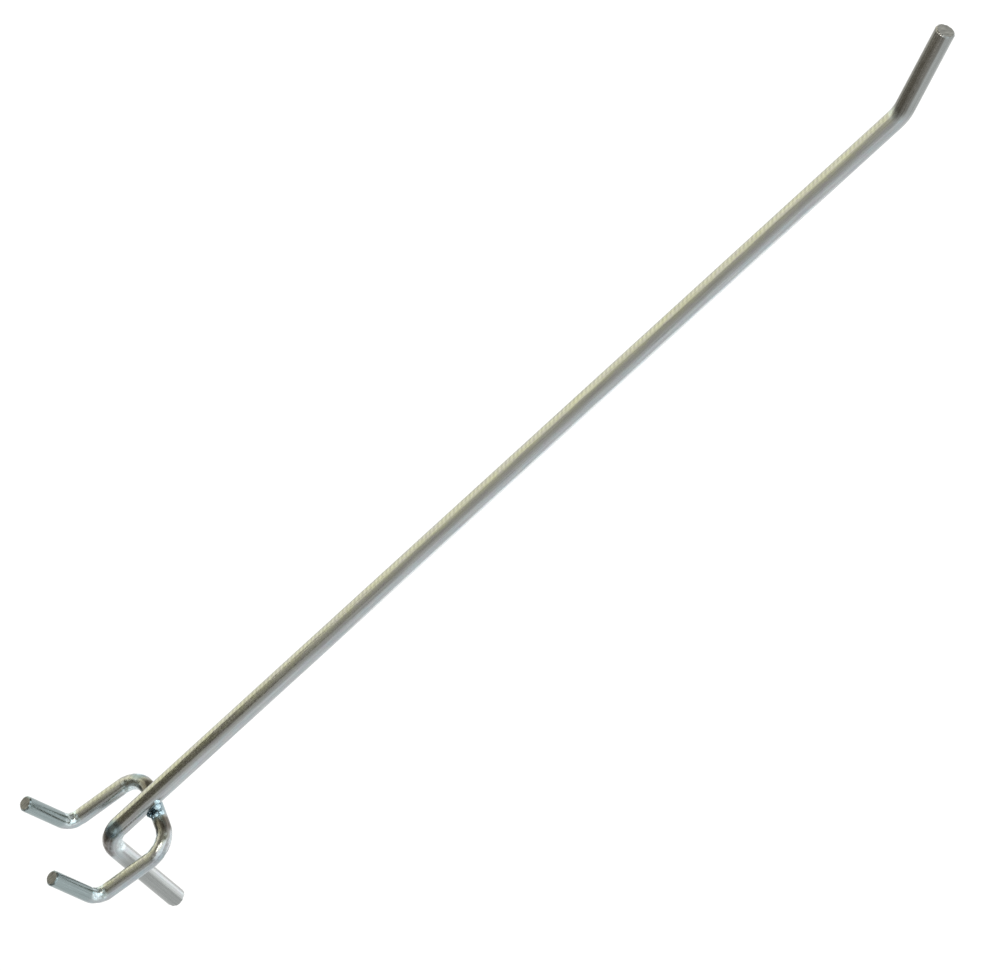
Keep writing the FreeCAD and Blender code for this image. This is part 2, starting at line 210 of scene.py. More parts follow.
class WireFinish(PropertyGroup):
    """Mesh steps and colours of the plated wire"""

    steps_round: IntProperty(name="Steps Round", description="Faces round the wire", default=64)
    step_along: FloatProperty(name="Step Along", description="Length of a face along the wire",
                              default=0.5 * MM, unit="LENGTH", precision=5)
    chamfer: FloatProperty(name="Cut Chamfer", description="Width of the edge broken at a cut",
                           default=0.35 * MM, unit="LENGTH", precision=5)
    plating: FloatVectorProperty(name="Plating", description="Colour of the bright zinc",
                                 default=(0.43, 0.435, 0.42), subtype="COLOR", size=3)
    # The next two colours also carry painted sheen: yellowish on the wire's upper side, darker and
    # bluish on its flank; the bluish one also tints the weld's heat
    straw_tint_and_sheen: FloatVectorProperty(name="Straw Tint", description="Yellow tint of the passivation",
                               default=(0.455, 0.455, 0.335), subtype="COLOR", size=3)
    blue: FloatVectorProperty(name="Blue Tint", description="Blue tint of the passivation",
                              default=(0.33, 0.42, 0.455), subtype="COLOR", size=3)
    violet: FloatVectorProperty(name="Violet Tint", description="Violet tint of the passivation",
                                default=(0.40, 0.37, 0.42), subtype="COLOR", size=3)
    heat: FloatVectorProperty(name="Heat Tint", description="Brown that the weld leaves beside it",
                              default=(0.11, 0.095, 0.075), subtype="COLOR", size=3)
    # The drops' pale colour is partly a painted highlight; it is also the pale core of the painted
    # glints in the bends
    bloom_and_glint: FloatVectorProperty(name="Weld Drops", description="Pale bloom on the weld's drops",
                               default=(0.66, 0.84, 0.92), subtype="COLOR", size=3)
    # Painted highlight inside a bend and painted shade outside it, over the squeezed and stretched
    # film
    squeezed_glint: FloatVectorProperty(name="Squeezed Film", description="Pale film inside a bend",
                                  default=(0.68, 0.79, 0.81), subtype="COLOR", size=3)
    stretched: FloatVectorProperty(name="Stretched Film", description="Dark film outside a bend",
                                   default=(0.075, 0.06, 0.05), subtype="COLOR", size=3)
    # Painted shade: the first darkens the leg below a level, but for its front side, and the tip;
    # the second, with a teal tint, the prong ends
    leg_tip_shade: FloatVectorProperty(name="Dull Leg", description="Thick film on the leg and tip",
                                  default=(0.30, 0.315, 0.31), subtype="COLOR", size=3)
    prong_end_shade: FloatVectorProperty(name="Dull Prongs", description="Teal film on the prongs",
                                    default=(0.285, 0.34, 0.345), subtype="COLOR", size=3)
    # Dark teal between the weld's drops, partly painted crease shade; also the dark rim of the
    # painted glints in the bends
    scale: FloatVectorProperty(name="Weld Scale", description="Dark scale between the drops",
                               default=(0.22, 0.30, 0.34), subtype="COLOR", size=3)
    # Painted shade on the tip: dark bands, and a pale one between them, on its upper side
    tip_dark_band: FloatVectorProperty(name="Scuffed Tip", description="Dark lines that goods rub there",
                               default=(0.185, 0.18, 0.165), subtype="COLOR", size=3)
    tip_shading: FloatVectorProperty(name="Worn Tip", description="Dull upper side of the tip",
                              default=(0.44, 0.425, 0.39), subtype="COLOR", size=3)
    arm_cut: FloatVectorProperty(name="Arm Cut", description="Colour of the arm's sheared ends",
                                 default=(0.33, 0.33, 0.305), subtype="COLOR", size=3)
    prong_cut: FloatVectorProperty(name="Prong Cut", description="Colour of the prongs' cut ends",
                                   default=(0.215, 0.21, 0.195), subtype="COLOR", size=3)


class StudioSettings(PropertyGroup):
    """Camera, floor and light"""

    camera_place: FloatVectorProperty(name="Camera Place", description="Where the camera stands",
                                      default=(1.1287789, -2.2774045, 2.5428893),
                                      unit="LENGTH", subtype="TRANSLATION", precision=6)
    camera_turn: FloatVectorProperty(name="Camera Turn", description="Rotation of the camera",
                                     default=(math.radians(30.6845564), math.radians(34.0438694),
                                              math.radians(-19.9264752)),
                                     subtype="EULER", precision=6)
    lens: FloatProperty(name="Lens", description="Focal length for a 36 mm wide sensor",
                        default=528.844)
    floor_drop: FloatProperty(name="Floor Drop", description="Gap between the hook and the floor",
                              default=0.12, unit="LENGTH")
    floor_size: FloatProperty(name="Floor Size", description="Side of the square floor",
                              default=12.0, unit="LENGTH")


# Small helpers for nodes and objects


def feed(socket, value):
    """Links another node's output to the socket, or sets the socket's own value."""
    if hasattr(value, "node"):
        socket.id_data.links.new(value, socket)
    else:
        socket.default_value = value


def add_node(tree, kind, column, feeds=None, **settings):
    """A new node, set up, laid out in a column and fed by the names of its inputs."""
    node = tree.nodes.new(kind)
    for name, value in settings.items():
        setattr(node, name, value)
    above = sum(1 for other in tree.nodes if other.location.x == column * 220.0 and other != node)
    node.location = (column * 220.0, -above * 260.0)
    for name, value in (feeds or {}).items():
        feed(node.inputs[name], value)
    return node


def add_group_sockets(tree, inputs, outputs):
    """The inputs, each with its default or None, and the outputs of a node group."""
    for name, kind, default in inputs:
        socket = tree.interface.new_socket(name=name, in_out="INPUT", socket_type=kind)
        if default is not None:
            socket.default_value = default
    for name, kind in outputs:
        tree.interface.new_socket(name=name, in_out="OUTPUT", socket_type=kind)


def maths(tree, column, operation, *terms, clamp=False):
    """One Math node; each term is a socket or a number. Returns its output."""
    return add_node(tree, "ShaderNodeMath", column, dict(enumerate(terms)), operation=operation,
                    use_clamp=clamp).outputs[0]


def times(tree, column, first, second, clamp=False):
    """first * second"""
    return maths(tree, column, "MULTIPLY", first, second, clamp=clamp)


def scaled(tree, column, value, gain, base, clamp=False):
    """value * gain + base"""
    return maths(tree, column, "MULTIPLY_ADD", value, gain, base, clamp=clamp)


def vector_maths(tree, column, operation, first, second=None):
    """One Vector Math node. Returns its output: a distance and a dot product are numbers."""
    feeds = {0: first}
    if second is not None:
        feeds["Scale" if operation == "SCALE" else 1] = second
    node = add_node(tree, "ShaderNodeVectorMath", column, feeds, operation=operation)
    return node.outputs["Value" if operation in ("DISTANCE", "DOT_PRODUCT") else "Vector"]


def smooth_step(tree, column, value, low, high):
    """Rises from 0 to 1 as the value goes from low to high."""
    return add_node(tree, "ShaderNodeMapRange", column,
                    {"Value": value, "From Min": low, "From Max": high},
                    interpolation_type="SMOOTHSTEP").outputs["Result"]


def set_input(modifier, name, value):
    """Sets a Geometry Nodes input by the identifier of the socket with this name."""
    for item in modifier.node_group.interface.items_tree:
        if item.item_type == "SOCKET" and item.in_out == "INPUT" and item.name == name:
            modifier[item.identifier] = value
            return
    raise RuntimeError(f"the tree {modifier.node_group.name} has no input {name}")


def add_object(name, data):
    """A new object in the scene."""
    made = bpy.data.objects.new(name, data)
    bpy.context.scene.collection.objects.link(made)
    return made


def path_object(name, points, radii, attribute_name=BEND_RADIUS, chained=True):
    """Points, as a chain of edges where it is a path, each with the radius of its bend or bead."""
    mesh = bpy.data.meshes.new(name)
    edges = [(index, index + 1) for index in range(len(points) - 1)] if chained else []
    mesh.from_pydata(points, edges, [])
    attribute = mesh.attributes.new(attribute_name, "FLOAT", "POINT")
    for index, radius in enumerate(radii):
        attribute.data[index].value = radius
    return add_object(name, mesh)


def settle(holder, tree, values, material):
    """Runs the tree on the object, keeps the result as a plain mesh and drops the modifier."""
    modifier = holder.modifiers.new("Build", "NODES")
    modifier.node_group = tree
    for name, value in values.items():
        set_input(modifier, name, value)
    set_input(modifier, "Material", material)
    graph = bpy.context.evaluated_depsgraph_get()
    mesh = bpy.data.meshes.new_from_object(holder.evaluated_get(graph))
    holder.modifiers.remove(modifier)
    rough = holder.data
    holder.data = mesh
    mesh.name = holder.name
    bpy.data.meshes.remove(rough)
    if not mesh.polygons:
        raise RuntimeError(f"{holder.name} came out without faces")


def check_fit(holder, node):
    """Raises an error where the dressed wire leaves the box of the solid that it stands for."""
    low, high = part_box(node)
    points = [vertex.co for vertex in holder.data.vertices]
    for axis in range(3):
        least = min(point[axis] for point in points)
        most = max(point[axis] for point in points)
        if least < low[axis] - FIT_TOLERANCE or most > high[axis] + FIT_TOLERANCE:
            raise RuntimeError(f"{holder.name} doesn't fit {node} along axis {axis}: "
                               f"{least} to {most}, not {low[axis]} to {high[axis]}")


# Parts that both Geometry Nodes trees use


def named_number(tree, column, name):
    """The number that the mesh keeps under this name."""
    return add_node(tree, "GeometryNodeInputNamedAttribute", column, {"Name": name},
                    data_type="FLOAT").outputs["Attribute"]


def store(tree, column, geometry, name, value, kind="FLOAT", domain="POINT"):
    """Keeps a value on the mesh under this name."""
    return add_node(tree, "GeometryNodeStoreNamedAttribute", column,
                    {"Geometry": geometry, "Name": name, "Value": value},
                    data_type=kind, domain=domain).outputs["Geometry"]


def capture(tree, column, geometry, **fields):
    """Holds each field, given as its kind and socket, for later. Returns the node's outputs."""
    node = add_node(tree, "GeometryNodeCaptureAttribute", column, {"Geometry": geometry},
                    domain="POINT")
    for name, (kind, field) in fields.items():
        node.capture_items.new(kind, name)
        feed(node.inputs[name], field)
    return node.outputs


def displace(tree, column, geometry, height):
    """Moves the surface out along its normal."""
    normal = add_node(tree, "GeometryNodeInputNormal", column).outputs["Normal"]
    offset = vector_maths(tree, column, "SCALE", normal, height)
    return add_node(tree, "GeometryNodeSetPosition", column,
                    {"Geometry": geometry, "Offset": offset}).outputs["Geometry"]


def end_tree(tree, column, geometry, material):
    """Real geometry with the material on it, out of the tree."""
    real = add_node(tree, "GeometryNodeRealizeInstances", column, {"Geometry": geometry})
    coat = add_node(tree, "GeometryNodeSetMaterial", column + 1,
                    {"Geometry": real.outputs["Geometry"], "Material": material})
    add_node(tree, "NodeGroupOutput", column + 2, {"Geometry": coat.outputs["Geometry"]})


# The tree that sweeps a bent wire


def bent_wire_tree():
    """A wire along a path of points: bends, dents in them, and a broken edge at each end."""
    tree = bpy.data.node_groups.new("Bent Wire", "GeometryNodeTree")
    add_group_sockets(tree, [
        ("Geometry", "NodeSocketGeometry", None),
        ("Wire Radius", "NodeSocketFloat", 0.0025),
        ("Steps Round", "NodeSocketInt", 64),
        ("Step Along", "NodeSocketFloat", 0.0005),
        ("Chamfer", "NodeSocketFloat", 0.00035),
        ("Material", "NodeSocketMaterial", None),
    ], [("Geometry", "NodeSocketGeometry")])
    given = add_node(tree, "NodeGroupInput", 0).outputs

    path = add_node(tree, "GeometryNodeMeshToCurve", 1, {"Mesh": given["Geometry"]})
    fillet = add_node(tree, "GeometryNodeFilletCurve", 2, {
        "Curve": path.outputs["Curve"], "Radius": named_number(tree, 1, BEND_RADIUS),
        "Count": FILLET_STEPS, "Limit Radius": True}, mode="POLY")
    resample = add_node(tree, "GeometryNodeResampleCurve", 3, {
        "Curve": fillet.outputs["Curve"], "Length": given["Step Along"]}, mode="LENGTH")

    # how sharply the wire turns here, from 0 on a straight run to 1 in a tight bend
    index = add_node(tree, "GeometryNodeInputIndex", 3).outputs["Index"]
    tangent = add_node(tree, "GeometryNodeInputTangent", 3).outputs["Tangent"]
    before, after = [add_node(tree, "GeometryNodeFieldAtIndex", 4,
                              {"Index": maths(tree, 3, "ADD", index, step), "Value": tangent},
                              data_type="FLOAT_VECTOR", domain="POINT").outputs["Value"]
                     for step in (-TURN_REACH, TURN_REACH)]
    swing = vector_maths(tree, 4, "DISTANCE", before, after)
    turn = times(tree, 4, swing, TURN_GAIN, clamp=True)
    turn = times(tree, 4, turn, turn)
    veer = vector_maths(tree, 4, "SUBTRACT", after, before)
    inward = vector_maths(tree, 4, "NORMALIZE", veer)
    curl = capture(tree, 4, resample.outputs["Curve"], Turn=("FLOAT", turn),
                   Inward=("VECTOR", inward))

    # more rings in the last step at each end, for the broken edge
    place = add_node(tree, "GeometryNodeSplineParameter", 3).outputs["Index"]
    count = add_node(tree, "GeometryNodeSplineLength", 3).outputs["Point Count"]
    at_start = maths(tree, 4, "LESS_THAN", place, 0.5)
    at_end = maths(tree, 4, "LESS_THAN", maths(tree, 4, "SUBTRACT", count, place), 2.5)
    cuts = times(tree, 5, maths(tree, 5, "ADD", at_start, at_end), END_RINGS)
    rings = add_node(tree, "GeometryNodeSubdivideCurve", 5,
                     {"Curve": curl["Geometry"], "Cuts": cuts})

    # the radius shrinks within a chamfer's width of either end
    place = add_node(tree, "GeometryNodeSplineParameter", 6).outputs["Length"]
    whole = add_node(tree, "GeometryNodeSplineLength", 6).outputs["Length"]
    nearest = maths(tree, 7, "MINIMUM", maths(tree, 6, "SUBTRACT", whole, place), place)
    short = maths(tree, 7, "SUBTRACT", given["Chamfer"], nearest)
    short = maths(tree, 7, "MAXIMUM", short, 0.0)
    loss = maths(tree, 8, "DIVIDE", short, given["Wire Radius"])
    along = capture(tree, 8, rings.outputs["Curve"], Along=("FLOAT", place))
    thin = add_node(tree, "GeometryNodeSetCurveRadius", 9, {
        "Curve": along["Geometry"], "Radius": maths(tree, 8, "SUBTRACT", 1.0, loss)})

    section = add_node(tree, "GeometryNodeCurvePrimitiveCircle", 8, {
        "Resolution": given["Steps Round"], "Radius": given["Wire Radius"]}, mode="RADIUS")
    where = add_node(tree, "GeometryNodeInputPosition", 8).outputs["Position"]
    around = capture(tree, 9, section.outputs["Curve"], Around=("VECTOR", where))
    radius = add_node(tree, "GeometryNodeInputRadius", 9).outputs["Radius"]
    sweep = add_node(tree, "GeometryNodeCurveToMesh", 10, {
        "Curve": thin.outputs["Curve"], "Profile Curve": around["Geometry"],
        "Scale": radius, "Fill Caps": True})

    # straight wire coordinates: length along, then the two places across
    across = add_node(tree, "ShaderNodeSeparateXYZ", 10, {"Vector": around["Around"]}).outputs
    coords = add_node(tree, "ShaderNodeCombineXYZ", 11, {
        "X": along["Along"], "Y": across["X"], "Z": across["Y"]}).outputs["Vector"]
    wire = store(tree, 11, sweep.outputs["Mesh"], WIRE_COORDS, coords, kind="FLOAT_VECTOR")

    # from 1 on the inner side of a tight bend to -1 on its outer side
    outward = add_node(tree, "GeometryNodeInputNormal", 11).outputs["Normal"]
    facing = vector_maths(tree, 11, "DOT_PRODUCT", outward, curl["Inward"])
    wire = store(tree, 12, wire, INSIDE, times(tree, 11, facing, curl["Turn"]))

    # shallow dents that the bending tools leave, always into the wire
    dent = add_node(tree, "ShaderNodeTexVoronoi", 11, {
        "Vector": coords, "Scale": 1.0 / DENT_SPACING, "Smoothness": DENT_SMOOTHNESS,
    }, feature="SMOOTH_F1").outputs["Distance"]
    hollow = scaled(tree, 12, dent, DENT_FALL, 1.0, clamp=True)
    wire = displace(tree, 12, wire,
                    times(tree, 12, times(tree, 12, hollow, curl["Turn"]), -DENT_DEPTH))

    # the flat cut faces have many corners
    corners = add_node(tree, "GeometryNodeCornersOfFace", 11).outputs["Total"]
    is_cap = maths(tree, 12, "GREATER_THAN", corners, 4.5)
    wire = store(tree, 12, wire, CUT_FACE, is_cap, domain="FACE")

    # smooth, but for the edges where the faces meet at more than a gentle angle
    smooth = add_node(tree, "GeometryNodeSetShadeSmooth", 13, {"Geometry": wire}, domain="FACE")
    angle = add_node(tree, "GeometryNodeInputMeshEdgeAngle", 13).outputs["Unsigned Angle"]
    crease = add_node(tree, "GeometryNodeSetShadeSmooth", 14, {
        "Geometry": smooth.outputs["Geometry"],
        "Shade Smooth": maths(tree, 13, "LESS_THAN", angle, CREASE_ANGLE)}, domain="EDGE")
    end_tree(tree, 15, crease.outputs["Geometry"], given["Material"])
    return tree


def wire_tree():
    """The one bent wire tree, built when it is first asked for."""
    return bpy.data.node_groups.get("Bent Wire") or bent_wire_tree()


# Parts of the materials


def new_material(name):
    """A material with an empty tree."""
    material = bpy.data.materials.new(name)
    material.use_nodes = True
    material.node_tree.nodes.clear()
    return material, material.node_tree


def show(tree, column, shader, output="ShaderNodeOutputMaterial"):
    """Puts the shader on the tree's output."""
    add_node(tree, output, column, {"Surface": shader})


def surface_value(tree, column, name, output="Fac"):
    """What the mesh keeps under this name."""
    return add_node(tree, "ShaderNodeAttribute", column, attribute_type="GEOMETRY",
                    attribute_name=name).outputs[output]


def stretched(tree, column, vector, scale, shift=(0.0, 0.0, 0.0)):
    """Coordinates moved and stretched for a pattern."""
    return add_node(tree, "ShaderNodeMapping", column,
                    {"Vector": vector, "Location": shift, "Scale": scale}).outputs["Vector"]


def straight_coords(tree, column, shift, scale):
    """Coordinates of the straightened wire, moved and stretched for a pattern."""
    coords = surface_value(tree, column, WIRE_COORDS, "Vector")
    return stretched(tree, column + 1, coords, scale, shift)


def mottle_group():
    """Soft cloudy patches: Mask runs from 0 to 1 round an even middle."""
    made = bpy.data.node_groups.get("Plating Mottle")
    if made:
        return made
    tree = bpy.data.node_groups.new("Plating Mottle", "ShaderNodeTree")
    add_group_sockets(tree, [
        ("Vector", "NodeSocketVector", None),
        ("Scale", "NodeSocketFloat", 1.0),
        ("Detail", "NodeSocketFloat", 3.0),
        ("Contrast", "NodeSocketFloat", 2.0),
        ("Middle", "NodeSocketFloat", 0.5),
    ], [("Mask", "NodeSocketFloat")])
    given = add_node(tree, "NodeGroupInput", 0).outputs
    noise = add_node(tree, "ShaderNodeTexNoise", 1, {
        "Vector": given["Vector"], "Scale": given["Scale"], "Detail": given["Detail"],
        "Roughness": 0.55, "Distortion": 0.3}, noise_dimensions="3D")
    centred = maths(tree, 2, "SUBTRACT", noise.outputs["Fac"], given["Middle"])
    add_node(tree, "NodeGroupOutput", 4,
             {"Mask": scaled(tree, 3, centred, given["Contrast"], 0.5, clamp=True)})
    return tree


def mottle(tree, column, vector, contrast, scale=1.0, detail=3.0, middle=0.5):
    """The mask of cloudy patches at these coordinates."""
    return add_node(tree, "ShaderNodeGroup", column, {
        "Vector": vector, "Scale": scale, "Detail": detail, "Contrast": contrast,
        "Middle": middle}, node_tree=mottle_group()).outputs["Mask"]


def blend_colours(tree, column, share, first, second, kind="MIX"):
    """Mixes two colours; each is a socket or three numbers."""
    node = add_node(tree, "ShaderNodeMix", column, data_type="RGBA", blend_type=kind)
    for name, term in (("Factor", share), ("A", first), ("B", second)):
        socket = next(item for item in node.inputs if item.enabled and item.name == name)
        feed(socket, term if name == "Factor" or hasattr(term, "node") else (*term, 1.0))
    return next(item for item in node.outputs if item.enabled)


def shaded(tree, column, colour, shade):
    """The colour times a grey."""
    return blend_colours(tree, column, 1.0, colour, shade, "MULTIPLY")


def side_facing(tree, column, axis):
    """The cosine between the surface's normal and the axis."""
    normal = add_node(tree, "ShaderNodeNewGeometry", column).outputs["Normal"]
    return vector_maths(tree, column + 1, "DOT_PRODUCT", normal, axis)


def side_mask(tree, column, axis, low, high):
    """Rises from 0 to 1 as the surface turns from the low to the high cosine to the axis."""
    return smooth_step(tree, column + 2, side_facing(tree, column, axis), low, high)


def distance_mask(tree, column, centre, low, high):
    """Rises from 0 to 1 as the surface gets from the low to the high distance off the centre."""
    coords = add_node(tree, "ShaderNodeTexCoord", column).outputs["Object"]
    away = vector_maths(tree, column + 1, "DISTANCE", coords, centre)
    return smooth_step(tree, column + 2, away, low, high)


def height_mask(tree, column, low, high):
    """Rises from 0 to 1 from the low to the high level."""
    coords = add_node(tree, "ShaderNodeTexCoord", column).outputs["Object"]
    split = add_node(tree, "ShaderNodeSeparateXYZ", column + 1, {"Vector": coords})
    return smooth_step(tree, column + 2, split.outputs["Z"], low, high)


def straightener_marks(tree):
    """Fine slanting bands that the rolls of a wire straightener leave, from -1 to 1."""
    coords = surface_value(tree, 0, WIRE_COORDS, "Vector")
    place = add_node(tree, "ShaderNodeSeparateXYZ", 1, {"Vector": coords}).outputs
    slant = times(tree, 2, place["Y"], math.pi / MARK_SLANT)
    return maths(tree, 2, "SINE", scaled(tree, 2, place["X"], math.tau / MARK_PITCH, slant))


# The plating


def plating_material(name, finish, seed, cut_colour, end_shade, shade_heights, glints, heat_at=None,
                     tip_shade_from=None, teal=0.6, outer_shade=0.95):
    """Bright zinc with its films, painted sheen and painted shade. The seed moves the patterns,
    teal is the strength of the bluish tint with its painted sheen on the flank, the last argument
    that of the painted shade outside the bends."""
    material, tree = new_material(name)
    shift = [seed * step for step in SEED_SHIFT]

    # cloudy tints, longer along the wire than across it
    cloud = straight_coords(tree, 0, shift, CLOUD_SCALE)
    straw_tint_and_sheen = mottle(tree, 2, cloud, contrast=2.6)
    blue = mottle(tree, 2, cloud, contrast=3.0, scale=1.9, middle=0.52)
    violet = mottle(tree, 2, cloud, contrast=3.4, scale=3.1, middle=0.56)

    # painted reflection colour over the passivation's own tints: a yellowish sheen on the upper
    # side and a darker bluish sheen on the flank
    straw_tint_and_sheen = times(tree, 3, scaled(tree, 3, straw_tint_and_sheen, *STRAW_SHARE),
                  side_mask(tree, 0, UPPER_SIDE, *STRAW_EDGE))
    blue = times(tree, 3, scaled(tree, 3, blue, *BLUE_SHARE),
                 side_mask(tree, 0, UPPER_SIDE, *BLUE_EDGE))
    tint = blend_colours(tree, 4, straw_tint_and_sheen, finish.plating, finish.straw_tint_and_sheen)
    tint = blend_colours(tree, 5, times(tree, 4, blue, teal), tint, finish.blue)
    tint = blend_colours(tree, 6, times(tree, 5, violet, VIOLET_SHARE), tint, finish.violet)
    # painted shade: darker below a level on the leg, but for the side facing LEG_FRONT, and above
    # a level on the prong ends
    shade_share = height_mask(tree, 3, *shade_heights)
    if tip_shade_from is not None:
        shade_share = times(tree, 6, shade_share, side_mask(tree, 3, LEG_FRONT, *LEG_EDGE))
    tint = blend_colours(tree, 6, shade_share, tint, end_shade)

    # draw lines and fine grain
    lines = straight_coords(tree, 0, shift, LINE_SCALE)
    streak = mottle(tree, 2, lines, contrast=2.8, detail=4.0)
    grain = straight_coords(tree, 0, shift, GRAIN_SCALE)
    speck = mottle(tree, 2, grain, contrast=2.5, detail=2.0)
    marks = times(tree, 3, straightener_marks(tree), side_mask(tree, 0, UPPER_SIDE, *MARK_EDGE))
    shade = scaled(tree, 4, streak, *STREAK_TONE)
    shade = scaled(tree, 4, marks, MARK_TONE, shade)
    shade = scaled(tree, 5, speck, SPECK_TONE, shade)
    colour = shaded(tree, 7, tint, shade)
    rough = scaled(tree, 6, speck, *GRAIN_ROUGHNESS)

    # painted highlight and shade in a bend, over its squeezed and stretched film: pale on the
    # inner side, dark on the outer side
    side = surface_value(tree, 5, INSIDE)
    flakes = straight_coords(tree, 3, shift, FLAKE_SCALE)
    flakes = mottle(tree, 5, flakes, contrast=4.5, detail=2.0)
    pale = times(tree, 7, smooth_step(tree, 6, side, *PALE_EDGE),
                 scaled(tree, 6, flakes, *PALE_SHARE))
    dark = times(tree, 7, smooth_step(tree, 6, side, *DARK_EDGE),
                 scaled(tree, 6, flakes, DARK_LOSS, outer_shade))
    colour = blend_colours(tree, 8, pale, colour, finish.squeezed_glint)
    colour = blend_colours(tree, 8, dark, colour, finish.stretched)
    # painted glints: a pale core in a dark rim at each given place in a bend
    for place, strength in glints:
        centre = Vector(place) * MM
        rim = times(tree, 8, distance_mask(tree, 5, centre, *GLINT_RIM), strength)
        core = times(tree, 8, distance_mask(tree, 5, centre, *GLINT_CORE),
                     scaled(tree, 7, flakes, *CORE_SHARE))
        colour = blend_colours(tree, 9, rim, colour, finish.scale)
        colour = blend_colours(tree, 9, core, colour, finish.bloom_and_glint)

    if heat_at is not None:
        near = distance_mask(tree, 4, heat_at, *HEAT_BLUE)
        ring = times(tree, 7, distance_mask(tree, 4, heat_at, *HEAT_BROWN_START),
                     distance_mask(tree, 4, heat_at, *HEAT_BROWN_END))
        ring = times(tree, 8, ring, scaled(tree, 7, streak, *HEAT_SHARE))
        colour = blend_colours(tree, 9, ring, colour, finish.heat)
        colour = blend_colours(tree, 10, near, colour, finish.blue)

    # painted shade on the tip: a darker tone along it, and dark and pale bands with streaks on its
    # upper side
    if tip_shade_from is not None:
        coords = surface_value(tree, 5, WIRE_COORDS, "Vector")
        along = add_node(tree, "ShaderNodeSeparateXYZ", 6, {"Vector": coords}).outputs["X"]
        tip = smooth_step(tree, 7, along, tip_shade_from, tip_shade_from + TIP_SHADE_FADE)
        colour = blend_colours(tree, 10, tip, colour, shaded(tree, 9, end_shade, shade))
        facing = side_facing(tree, 5, TIP_UPPER)
        tip_bands = blend_colours(tree, 8, smooth_step(tree, 7, facing, *TIP_BAND_EDGE), finish.tip_dark_band,
                               finish.tip_shading)
        tip_bands = blend_colours(tree, 8, smooth_step(tree, 7, facing, *TIP_TOP_EDGE), tip_bands,
                               finish.tip_dark_band)
        tip_bands = shaded(tree, 9, tip_bands, scaled(tree, 8, streak, *TIP_STREAK_TONE))
        tip_shading = times(tree, 8, tip, smooth_step(tree, 7, facing, *TIP_SHADE_EDGE))
        colour = blend_colours(tree, 11, tip_shading, colour, tip_bands)

    # bare sheared steel on the cut ends
    cut = surface_value(tree, 10, CUT_FACE)
    shear = straight_coords(tree, 8, shift, SHEAR_SCALE)
    shear = mottle(tree, 10, shear, contrast=2.4, detail=4.0)
    steel = shaded(tree, 12, cut_colour, scaled(tree, 11, shear, *SHEAR_TONE))
    colour = blend_colours(tree, 13, cut, colour, steel)
    rough = scaled(tree, 12, cut, CUT_ROUGHNESS, rough)

    height = scaled(tree, 6, streak, STREAK_RELIEF, times(tree, 5, speck, SPECK_RELIEF))
    bump = add_node(tree, "ShaderNodeBump", 13, {
        "Strength": BUMP_STRENGTH, "Distance": BUMP_DEPTH, "Height": height})
    shader = add_node(tree, "ShaderNodeBsdfPrincipled", 14, {
        "Metallic": 1.0, "Base Color": colour, "Roughness": rough,
        "Normal": bump.outputs["Normal"]})
    show(tree, 15, shader.outputs["BSDF"])
    return material


# The weld


def weld_material(finish):
    """Pale on the large drops: oxide bloom and a painted highlight. Dark teal between them: weld
    scale and painted crease shade.
    """
    material, tree = new_material("weld_flash")
    coords = add_node(tree, "ShaderNodeTexCoord", 0).outputs["Object"]
    grain = mottle(tree, 2, stretched(tree, 1, coords, FLAKE_SCALE), contrast=2.4)
    bloom_and_glint = times(tree, 4, scaled(tree, 3, grain, *BLOOM_SHARE, clamp=True),
                  surface_value(tree, 0, DROP))
    shader = add_node(tree, "ShaderNodeBsdfPrincipled", 6, {
        "Base Color": blend_colours(tree, 5, bloom_and_glint, finish.scale, finish.bloom_and_glint),
        "Metallic": scaled(tree, 5, bloom_and_glint, *BLOOM_METAL),
        "Roughness": scaled(tree, 5, grain, *WELD_ROUGHNESS)})
    show(tree, 7, shader.outputs["BSDF"])
    return material


